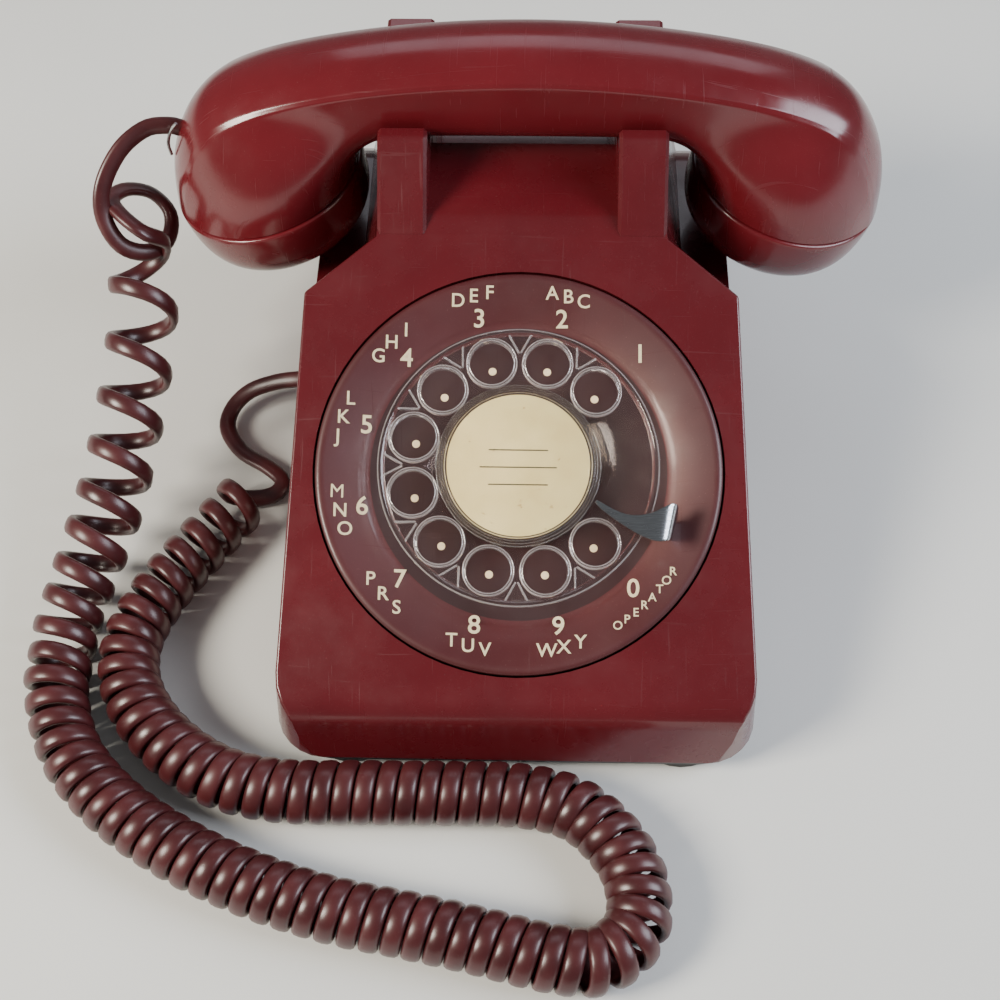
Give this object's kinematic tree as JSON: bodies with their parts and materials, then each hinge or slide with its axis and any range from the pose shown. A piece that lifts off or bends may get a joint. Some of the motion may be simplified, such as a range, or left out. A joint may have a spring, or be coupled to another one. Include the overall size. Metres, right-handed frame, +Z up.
{
  "type": "rotary telephone",
  "caption": "Desk telephone with a rotary dial, a handset resting on a cradle and a curly cord from the handset to the base.",
  "frame": {"origin": "centre of the base's footprint, on the surface it stands on", "axes": "+Z up, +X to the right seen from the dial, +Y towards the back, away from the dial"},
  "size_m": [0.2623, 0.2914, 0.1235],
  "materials": {
    "maroon_abs": "glossy moulded plastic with light scratches",
    "maroon_vinyl": "extruded vinyl jacket",
    "clear_acrylic": "clear moulded acrylic, worn",
    "clear_plunger": "clear moulded acrylic",
    "card_paper": "yellowed card",
    "bright_steel": "polished stainless steel",
    "black_painted_steel": "black painted sheet steel",
    "zinc_plated_steel": "zinc plated",
    "brass": "machined brass",
    "black_rubber": "moulded rubber",
    "phenolic": "phenolic insulation with contact springs",
    "enamelled_wire": "wound enamelled wire",
    "grey_plastic": "moulded grey plastic",
    "grey_paint": "grey painted can",
    "black_plastic": "moulded black plastic",
    "aluminium": "pressed aluminium can"
  },
  "bodies": {
    "telephone_base": {"housing": "maroon_abs", "base_plate": "black_painted_steel", "foot_front_left": "black_rubber", "foot_front_right": "black_rubber", "foot_rear_left": "black_rubber", "foot_rear_right": "black_rubber", "front_screw": "bright_steel", "rear_screw": "bright_steel", "dial_plate": "maroon_abs", "dial_cup": "zinc_plated_steel", "pulse_contacts": "phenolic", "finger_stop": "bright_steel", "hook_bracket": "zinc_plated_steel", "hook_contacts": "phenolic", "left_gong": "brass", "right_gong": "brass", "ringer_frame": "zinc_plated_steel", "ringer_coil": "enamelled_wire", "network_block": "grey_paint", "handset_jack": "black_plastic", "line_inlet": "black_plastic", "cord_coil_hanging": "maroon_vinyl", "cord_coil_on_table": "maroon_vinyl", "cord_tail": "maroon_vinyl"},
    "dial_wheel": {"fingerwheel": "clear_acrylic", "dial_shaft": "bright_steel", "number_card": "card_paper", "card_retainer": "clear_acrylic", "main_gear": "brass"},
    "governor": {"governor": "brass"},
    "left_plunger": {"left_plunger": "clear_plunger"},
    "right_plunger": {"right_plunger": "clear_plunger"},
    "hook_lever": {"hook_lever": "zinc_plated_steel"},
    "clapper": {"clapper": "brass"},
    "volume_wheel": {"volume_wheel": "grey_plastic"},
    "handset": {"handset_shell": "maroon_abs", "mouthpiece_cap": "maroon_abs", "earpiece_cap": "maroon_abs", "transmitter": "aluminium", "receiver": "aluminium", "transmitter_cup": "grey_plastic", "cord_hook": "bright_steel", "cord_lead": "maroon_vinyl"}
  },
  "joints": [
    {"name": "handset_lift", "type": "slide", "parent": "telephone_base", "child": "handset", "axis": [0, 0, 1], "range_m": [0, 0.09], "deforming": ["cord_coil_hanging"]},
    {"name": "left_plunger_slide", "type": "slide", "parent": "telephone_base", "child": "left_plunger", "axis": [0, 0, 1], "range_m": [0, 0.0057]},
    {"name": "right_plunger_slide", "type": "slide", "parent": "telephone_base", "child": "right_plunger", "axis": [0, 0, 1], "range_m": [0, 0.0057]},
    {"name": "hook_lever_pivot", "type": "hinge", "parent": "telephone_base", "child": "hook_lever", "pos_m": [0, 0.03, 0.0625], "axis": [1, 0, 0], "range_deg": [0, 9]},
    {"name": "dial_spin", "type": "hinge", "parent": "telephone_base", "child": "dial_wheel", "pos_m": [0, -0.0418, 0.0569], "axis": [0, -0.4067, 0.9135], "range_deg": [-325, 0], "stiffness_Nm_per_rad": 0.004, "springref_deg": 85.94},
    {"name": "governor_spin", "type": "hinge", "parent": "telephone_base", "child": "governor", "pos_m": [0, -0.06921, 0.0447], "axis": [0, -0.4067, 0.9135], "range_deg": [0, 1301]},
    {"name": "clapper_swing", "type": "hinge", "parent": "telephone_base", "child": "clapper", "pos_m": [0, 0.066, 0.0165], "axis": [0, 0, 1], "range_deg": [-14, 14], "stiffness_Nm_per_rad": 0.002},
    {"name": "volume_turn", "type": "hinge", "parent": "telephone_base", "child": "volume_wheel", "pos_m": [0.04, 0.04, 0.0035], "axis": [0, 0, 1], "range_deg": [-60, 60]}
  ],
  "couplings": [
    {"joint": "left_plunger_slide", "follows": "handset_lift", "ratio": 0.061111},
    {"joint": "right_plunger_slide", "follows": "handset_lift", "ratio": 0.061111},
    {"joint": "hook_lever_pivot", "follows": "handset_lift", "rad_per_m": 1.6667},
    {"joint": "governor_spin", "follows": "dial_spin", "ratio": -4}
  ]
}
